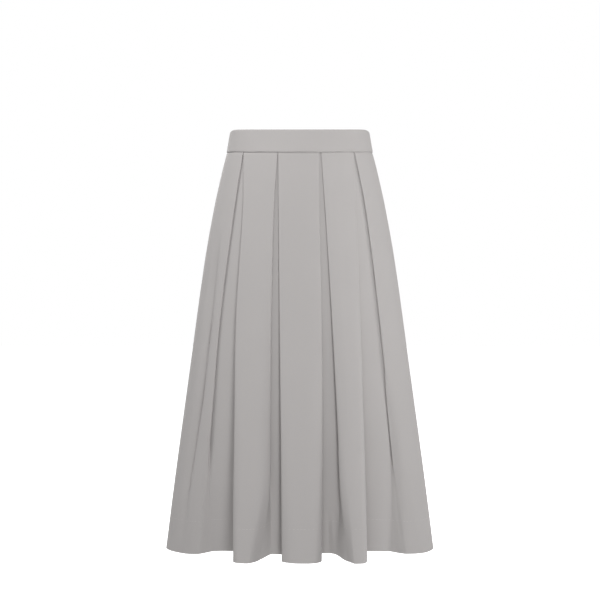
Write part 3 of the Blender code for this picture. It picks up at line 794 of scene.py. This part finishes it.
class Nodes:
    """Short names for making and joining a material's nodes."""

    def __init__(self, name):
        self.material = bpy.data.materials.new(name)
        self.material.use_nodes = True
        self.tree = self.material.node_tree
        self.shader = self.tree.nodes["Principled BSDF"]

    def add(self, kind, **inputs):
        """A new node. A name that starts with _ is a property of it, and the others are inputs."""
        node = self.tree.nodes.new(kind)
        for key, value in inputs.items():
            if key.startswith("_"):
                setattr(node, key[1:], value)
            else:
                self.set(node.inputs[key.replace("_", " ")], value)
        return node

    def set(self, socket, value):
        if isinstance(value, bpy.types.NodeSocket):
            self.tree.links.new(value, socket)
        else:
            socket.default_value = value

    def shade(self, **inputs):
        """Sets inputs of the shader itself."""
        for key, value in inputs.items():
            self.set(self.shader.inputs[key.replace("_", " ")], value)

    def math(self, operation, a, b=0.0):
        node = self.tree.nodes.new("ShaderNodeMath")
        node.operation = operation
        self.set(node.inputs[0], a)
        self.set(node.inputs[1], b)
        return node.outputs[0]

    def remap(self, value, low, high):
        node = self.add("ShaderNodeMapRange", Value=value, To_Min=low, To_Max=high)
        return node.outputs["Result"]

    def tint(self, colour, amount):
        """The colour made lighter or darker by a factor near 1."""
        node = self.add("ShaderNodeMix", _data_type="RGBA", _blend_type="MULTIPLY")
        node.inputs["Factor"].default_value = 1.0
        grey = self.tree.nodes.new("ShaderNodeCombineColor")
        for channel in range(3):
            self.set(grey.inputs[channel], amount)
        self.set(node.inputs["A"], colour)
        self.set(node.inputs["B"], grey.outputs[0])
        return node.outputs["Result"]


def woven(name, colour, pitch, roughness, sheen, bump):
    """Cloth woven in a fine twill: threads at the pitch, slubs, and a slow drift of tone."""
    look = Nodes(name)
    grain = look.add("ShaderNodeUVMap", _uv_map="cloth").outputs["UV"]
    twill = look.add(
        "ShaderNodeTexWave", Vector=grain, Scale=TWILL_SCALE / pitch, _bands_direction="DIAGONAL"
    )
    across, along = THREAD_ACROSS / pitch, THREAD_ALONG / pitch
    warp_space = look.add("ShaderNodeMapping", Vector=grain, Scale=(across, along, 1.0))
    weft_space = look.add("ShaderNodeMapping", Vector=grain, Scale=(along, across, 1.0))
    warp = look.add("ShaderNodeTexNoise", Vector=warp_space.outputs[0], Scale=1.0, Detail=2.0)
    weft = look.add("ShaderNodeTexNoise", Vector=weft_space.outputs[0], Scale=1.0, Detail=2.0)
    drift = look.add("ShaderNodeTexNoise", Vector=grain, Scale=DRIFT_SCALE, Detail=3.0)
    both = look.math("ADD", warp.outputs["Fac"], weft.outputs["Fac"])
    relief = look.math("ADD", look.math("MULTIPLY", both, THREAD_RELIEF), twill.outputs["Fac"])
    tone = look.math(
        "MULTIPLY",
        look.remap(drift.outputs["Fac"], *DRIFT_TONES),
        look.remap(both, *THREAD_TONES),
    )
    raised = look.add("ShaderNodeBump", Height=relief, Strength=bump, Distance=WEAVE_HEIGHT)
    look.shade(
        Base_Color=look.tint(colour, tone),
        Normal=raised.outputs["Normal"],
        Roughness=roughness,
        Sheen_Weight=sheen,
        Sheen_Roughness=SHEEN_ROUGHNESS,
        Specular_IOR_Level=CLOTH_SPECULAR,
    )
    return look.material


def smooth_finish(name, colour, metallic, coat):
    """Satin paint over cast metal or drawn nylon, a little rubbed."""
    look = Nodes(name)
    place_in_space = look.add("ShaderNodeTexCoord").outputs["Object"]
    grain = look.add("ShaderNodeTexNoise", Vector=place_in_space, Scale=CAST_SCALE, Detail=3.0)
    wear = look.add("ShaderNodeTexNoise", Vector=place_in_space, Scale=WEAR_SCALE, Detail=2.0)
    tone = look.remap(wear.outputs["Fac"], *WEAR_TONES)
    raised = look.add(
        "ShaderNodeBump", Height=grain.outputs["Fac"], Strength=CAST_STRENGTH, Distance=CAST_HEIGHT
    )
    look.shade(
        Base_Color=look.tint(colour, tone),
        Normal=raised.outputs["Normal"],
        Roughness=look.remap(wear.outputs["Fac"], *WEAR_ROUGHNESS),
        Metallic=metallic,
        Coat_Weight=coat,
    )
    return look.material


CLOTH_LOOK = woven(
    "skirt_cloth", (0.475, 0.455, 0.448, 1.0), pitch=0.0006, roughness=0.85, sheen=0.15, bump=0.35
)
TAPE_LOOK = woven(
    "zip_tape_weave", (0.40, 0.38, 0.37, 1.0), pitch=0.0008, roughness=0.90, sheen=0.05, bump=0.8
)
# Real thread, coloured lighter than the cloth: that lighter colour is a painted highlight, for the
# light that the stitched hem catches.
THREAD_HIGHLIGHT_LOOK = woven(
    "sewing_thread_painted_highlight", (0.60, 0.58, 0.57, 1.0), pitch=0.0003, roughness=0.70, sheen=0.2, bump=0.4
)
METAL_LOOK = smooth_finish("zip_metal_paint", (0.40, 0.39, 0.38, 1.0), metallic=0.35, coat=0.30)
COIL_LOOK = smooth_finish("zip_coil_nylon", (0.37, 0.36, 0.35, 1.0), metallic=0.0, coat=0.15)


# ----------------------------------------------------------------------------------- pieces


def sewn_in(piece, slot, *nodes):
    """The piece moves with the skirt and may stand for CAD nodes. slot is not used."""
    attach(piece, "skirt")
    if nodes:
        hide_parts(*nodes)
    return piece


def hem_stitches(name, outer, back):
    """Short threads of the blind stitches, where the turned-up hem is caught to the outside."""
    line = outer[row_drops().index(SKIRT_LENGTH - HEM_TURNING)]
    along = lengths_along(line)
    middles = np.arange(STITCH_PITCH, along[-1] - STITCH_PITCH, STITCH_PITCH)
    middles = middles + STITCH_SHIFT * np.sin(middles * SHIFT_WAVE)
    spread = np.sin(middles * SPREAD_WAVES[0]) * np.sin(middles * SPREAD_WAVES[1] + SPREAD_PHASE)
    halves = STITCH_LENGTH * (HALF_STITCH + HALF_STITCH_SPREAD * spread)
    starts, ends = on_line(line, along, middles - halves), on_line(line, along, middles + halves)
    wander = np.sin(middles * WANDER_WAVES[0]) * np.sin(middles * WANDER_WAVES[1])
    starts[:, 2] += STITCH_WANDER * wander
    ends[:, 2] += STITCH_WANDER * wander + STITCH_SLANT * np.sin(middles * SLANT_WAVE)
    return sewn_in(threads(name, starts, ends, STITCH_RADIUS, back), "cloth")


def panel(node, face, creases, cut, back=False):
    """A panel with its hem stitches. Gives the two grids of its shell."""
    outer, inner, grain = wall(face, creases, cut)
    shape = [turned(outer), turned(inner)] if back else [outer, inner]
    piece = sewn_in(shell(f"{node}_cloth", *shape, grain, CLOTH_LOOK), "cloth", node)
    stitches = hem_stitches(f"{node}_hem_stitches", outer, back)
    return shape


def skirt_panels():
    front = panel("skirt_front", FRONT, FRONT_CREASES, whole_face)
    left, right = (
        panel(f"skirt_back_{name}", BACK, BACK_CREASES, back_cut(side), back=True)
        for name, side in BACK_SIDES
    )
    seam_allowance("side_seam_left", front, left, TUCK_HEIGHT)
    seam_allowance("side_seam_right", right, front, TUCK_HEIGHT)
    seam_allowance("centre_back_seam", left, right, ZIP_END)


def seam_allowance(name, before, after, upper_end):
    """The edges of two panels, pressed open behind their seam. It runs down to the hem."""
    drops = np.array(row_drops())
    rows = np.flatnonzero((drops > upper_end) & (drops < SKIRT_LENGTH - ALLOWANCE_END))
    outer, inner = (
        np.array([np.vstack([beside_end(a[row, ::-1])[::-1], beside_end(b[row])]) for row in rows])
        for a, b in zip(before, after)
    )
    inward = inner - outer
    inward /= np.linalg.norm(inward, axis=2)[:, :, None]
    near = inner + inward * ALLOWANCE_CLEAR
    along = np.array([lengths_along(row) for row in near])
    grain = np.stack(np.broadcast_arrays(along, -drops[rows, None]), axis=-1)
    piece = shell(f"{name}_allowance", near, near + inward * CLOTH, grain, CLOTH_LOOK)
    sewn_in(piece, "cloth")


def beside_end(line):
    """Points of a section line, from its first point to the edge of the seam allowance."""
    return on_line(line, lengths_along(line), np.linspace(0.0, ALLOWANCE_WIDTH, ALLOWANCE_COLUMNS))


def back_cut(side):
    return lambda points, bends: half_face(points, bends, side)


def band_body(rise):
    """The body ellipse at a share of the waistband's height."""
    return (
        blend(BODY[0][1], BAND_TOP_HALF_WIDTH, rise),
        blend(BODY[0][2], BAND_TOP_HALF_DEPTH, rise),
    )


def waves(table, angle, rise):
    """The sum of a table's waves along the waistband."""
    return sum(
        size * math.sin(angle * rate + phase + rise * lean) for size, rate, phase, lean in table
    )


def band_point(angle, inset, rise):
    """A point of the band's profile, at one angle round the waist."""
    swell = waves(BAND_SWELLS, angle, rise) * math.sin(math.pi * rise) if inset < 0 else 0.0
    across, depth = place(band_body(rise), angle, inset - swell)
    near_side = abs(math.sin(angle)) ** SIDE_SHARPNESS
    height = blend(GAP, BAND_HEIGHT, rise) - blend(SEAM_DIP, BAND_TOP_DIP, rise) * near_side
    wave = waves(SEAM_WAVES, angle, rise) * (1 - rise) ** SEAM_WAVE_FADE
    return across, depth, WAIST_SEAM_Z + height + wave


def waistband(node, angles, ends, back=False):
    """The band's profile carried along an arc of the waist. ends give its trimmed ends."""
    rings = np.array([[band_point(angle, *row) for row in BAND_PROFILE] for angle in angles])
    for end, axis, value in ends:
        rings[end, :, axis] = value
    along = lengths_along(rings[:, BAND_MEASURED])
    round_profile = np.array([lengths_along(ring) for ring in rings])
    grain = np.stack(np.broadcast_arrays(along[:, None], round_profile), axis=-1)
    rings = turned(rings) if back else rings
    piece = tube(f"{node}_cloth", rings, grain, CLOTH_LOOK, flip=angles[0] < angles[-1])
    sewn_in(piece, "cloth", node)


def waistbands():
    half_turn = np.linspace(-math.pi / 2, math.pi / 2, 2 * BAND_STEPS + 1)
    seam = -GAP / 2
    waistband("waistband_front", half_turn, ((0, 1, seam), (-1, 1, seam)))
    for name, side in BACK_SIDES:
        angles = np.linspace(side * math.pi / 2, 0.0, BAND_STEPS + 1)
        ends = ((0, 1, seam), (-1, 0, side * ZIP_SLOT / 2))
        waistband(f"waistband_back_{name}", angles, ends, back=True)


def tape_rows(side):
    """Points across a zip tape, from its top behind the waistband to its lower end."""
    across = np.sort(side * np.linspace(TAPE_NEAR, TAPE_FAR, TAPE_COLUMNS))
    rows = []
    for rise in np.linspace(1 - TAPE_BELOW_TOP / BAND_HEIGHT, 0.0, TAPE_BAND_ROWS):
        body = band_body(rise)
        flat = [place(body, angle_of(body, x, TAPE_INSET), TAPE_INSET) for x in across]
        step = TAPE_STEP * (1 - smooth(rise / TAPE_STEP_RISE))
        height = WAIST_SEAM_Z + rise * BAND_HEIGHT - step
        rows.append(np.column_stack([flat, np.full(len(across), height)]))
    panel_drops = np.linspace(TAPE_PANEL_TOP, ZIP_END, TAPE_PANEL_ROWS)
    for drop in (TAPE_STEP + TAPE_SLOPE, *panel_drops):
        body, bends = face_bends(*BACK, drop)
        line, _ = half_face(trace(body, bends), bends, side)
        line = line[np.argsort(line[:, 0])]
        depths = np.interp(across, line[:, 0], line[:, 1]) + TAPE_BEHIND
        rows.append(np.column_stack([across, depths, np.full(len(across), WAIST_SEAM_Z - drop)]))
    return np.array(rows)


def zip_tape(name, side):
    """A woven strip behind the back edges, its sewing and its half of the coil."""
    rows = tape_rows(side)
    from_far = (TAPE_FAR - np.abs(rows[:, :, 0])) / (TAPE_FAR - TAPE_NEAR)
    half = TAPE_WEAVE / 2 * (1 + SELVEDGE_SWELL * np.exp(-((from_far / SELVEDGE_WIDTH) ** 2)))
    shift = np.stack([np.zeros_like(half), half, np.zeros_like(half)], axis=-1)
    along = lengths_along(rows[:, 0])
    grain = np.stack(np.broadcast_arrays(rows[:, :, 0], -along[:, None]), axis=-1)
    tape = shell(
        f"zip_tape_{name}_weave", turned(rows - shift), turned(rows + shift), grain, TAPE_LOOK
    )
    sewn_in(tape, "zip_tape", f"zip_tape_{name}")
    stitches = tape_stitches(f"zip_tape_{name}_stitches", side, rows)
    coil(name, side, rows)


def tape_stitches(name, side, rows):
    """The line of stitches down a tape, on its inner face."""
    seam = rows[:, TAPE_SEAM_COLUMN if side > 0 else -1 - TAPE_SEAM_COLUMN]
    along = lengths_along(seam)
    middles = np.arange(TAPE_STITCH_PITCH, along[-1] - TAPE_STITCH_PITCH, TAPE_STITCH_PITCH)
    half = TAPE_STITCH_PITCH * TAPE_HALF_STITCH
    behind = np.array((0.0, TAPE_WEAVE / 2, 0.0))
    starts, ends = (on_line(seam, along, middles + step) + behind for step in (-half, half))
    return sewn_in(threads(name, starts, ends, TAPE_STITCH_RADIUS, back=True), "zip_tape")


def coil(name, side, rows):
    """A nylon spiral on the tape's near edge, whose turns lie between those of the other side."""
    edge = rows[:, 0 if side > 0 else -1].copy()
    top = int(np.argmax(edge[:, 2] < COIL_TOP_Z))
    edge = edge[top - 1 :]
    edge[0] = edge[0] + (edge[1] - edge[0]) * (edge[0, 2] - COIL_TOP_Z) / (edge[0, 2] - edge[1, 2])
    along = lengths_along(edge)
    turns = int((along[-1] - COIL_END) / COIL_PITCH)
    progress = np.arange(turns * COIL_TURN_STEPS + 1) / COIL_TURN_STEPS
    middle = on_line(edge, along, progress * COIL_PITCH)
    middle[:, 0] = side * COIL_AXIS
    middle[:, 1] += TAPE_WEAVE / 2 + COIL_RADIUS + COIL_WIRE
    turn = 2 * math.pi * (progress + (0.5 if side > 0 else 0.0))
    radial = np.stack([side * np.cos(turn), np.sin(turn), np.zeros_like(turn)], axis=1)
    path = middle + radial * COIL_RADIUS
    runs = np.gradient(path, axis=0)
    runs /= np.linalg.norm(runs, axis=1)[:, None]
    level = np.cross(runs, radial)
    ring_turns = 2 * math.pi * np.arange(COIL_SIDES) / COIL_SIDES
    wire = [COIL_WIRE * (math.cos(a) * radial + math.sin(a) * level) for a in ring_turns]
    rings = turned(np.stack([path + step for step in wire], axis=1))
    grain = np.zeros((*rings.shape[:2], 2))
    sewn_in(tube(f"zip_coil_{name}", rings, grain, COIL_LOOK), "zip_tape")


def zip_pieces():
    for name, side in BACK_SIDES:
        zip_tape(name, side)
    for node in ("zip_slider", "zip_pull_tab"):
        for material_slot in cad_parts[node].material_slots:
            material_slot.material = METAL_LOOK


# ------------------------------------------------------------------------------ light, camera

CAMERA_DISTANCE, CAMERA_TILT = 3.700, math.radians(4.743)
CAMERA_X, CAMERA_Z = 0.0005, 0.0123
CAMERA_LENS, SENSOR_WIDTH = 120.07, 36.0

SEEN_WHITE, AMBIENT = 1.0, 0.37  # the white surroundings as seen, and the light that they give
LAMP_TARGET = (0.0, 0.0, -0.20)
LAMPS = (
    # name, position, size, watts
    ("key", (0.36, -1.30, -0.08), 0.5, 6.4),
    ("high", (0.00, -2.20, 2.00), 1.2, 18.5),
    ("left", (-1.40, -0.30, 1.40), 0.8, 19.5),
    ("right", (2.80, 0.00, 0.30), 0.8, 24.5),
    ("back", (-0.90, 2.30, 1.90), 1.6, 46.0),
)

FLOOR_Z, FLOOR_REACH = -1.020, 6.0
FLOOR_CORNERS = ((-1, -1), (1, -1), (1, 1), (-1, 1))
FLOOR_GREY, FLOOR_ROUGHNESS, FLOOR_GLOW = 0.90, 0.9, 0.80


def camera():
    data = bpy.data.cameras.new("camera")
    data.sensor_width = SENSOR_WIDTH
    data.lens = CAMERA_LENS
    seen = bpy.data.objects.new("camera", data)
    seen.location = (CAMERA_X, -CAMERA_DISTANCE, CAMERA_Z)
    seen.rotation_euler = (math.pi / 2 - CAMERA_TILT, 0.0, 0.0)
    bpy.context.scene.collection.objects.link(seen)
    bpy.context.scene.camera = seen


def area_light(name, position, target, size, watts):
    data = bpy.data.lights.new(name, "AREA")
    data.shape = "DISK"
    data.size = size
    data.energy = watts
    lamp = bpy.data.objects.new(name, data)
    lamp.location = position
    aim = np.array(target) - np.array(position)
    aim = aim / np.linalg.norm(aim)
    lamp.rotation_euler = (math.acos(-aim[2]), 0.0, math.atan2(-aim[0], aim[1]))
    bpy.context.scene.collection.objects.link(lamp)


def surroundings():
    """White all round, which lights the cloth less strongly than it looks."""
    world = bpy.data.worlds.new("studio")
    world.use_nodes = True
    nodes, links = world.node_tree.nodes, world.node_tree.links
    background = nodes["Background"]
    background.inputs["Color"].default_value = (1.0, 1.0, 1.0, 1.0)
    ray = nodes.new("ShaderNodeLightPath")
    strength = nodes.new("ShaderNodeMapRange")
    strength.inputs["To Min"].default_value = AMBIENT
    strength.inputs["To Max"].default_value = SEEN_WHITE
    links.new(ray.outputs["Is Camera Ray"], strength.inputs["Value"])
    links.new(strength.outputs["Result"], background.inputs["Strength"])
    bpy.context.scene.world = world
    bpy.context.scene.view_settings.view_transform = "Standard"


def floor():
    """A pale floor that glows a little, and throws no light back at the cloth."""
    look = Nodes("pale_floor")
    look.shade(
        Base_Color=(FLOOR_GREY, FLOOR_GREY, FLOOR_GREY, 1.0),
        Roughness=FLOOR_ROUGHNESS,
        Emission_Color=(1.0, 1.0, 1.0, 1.0),
        Emission_Strength=FLOOR_GLOW,
    )
    points = np.array([(x, y, FLOOR_Z) for x, y in FLOOR_CORNERS]) * (FLOOR_REACH, FLOOR_REACH, 1)
    ground = add_mesh("floor", points, [(0, 1, 2, 3)], look.material)
    ground.visible_diffuse = False


def studio():
    surroundings()
    floor()
    for name, position, size, watts in LAMPS:
        area_light(name, position, LAMP_TARGET, size, watts)


camera()
skirt_panels()
waistbands()
zip_pieces()
studio()
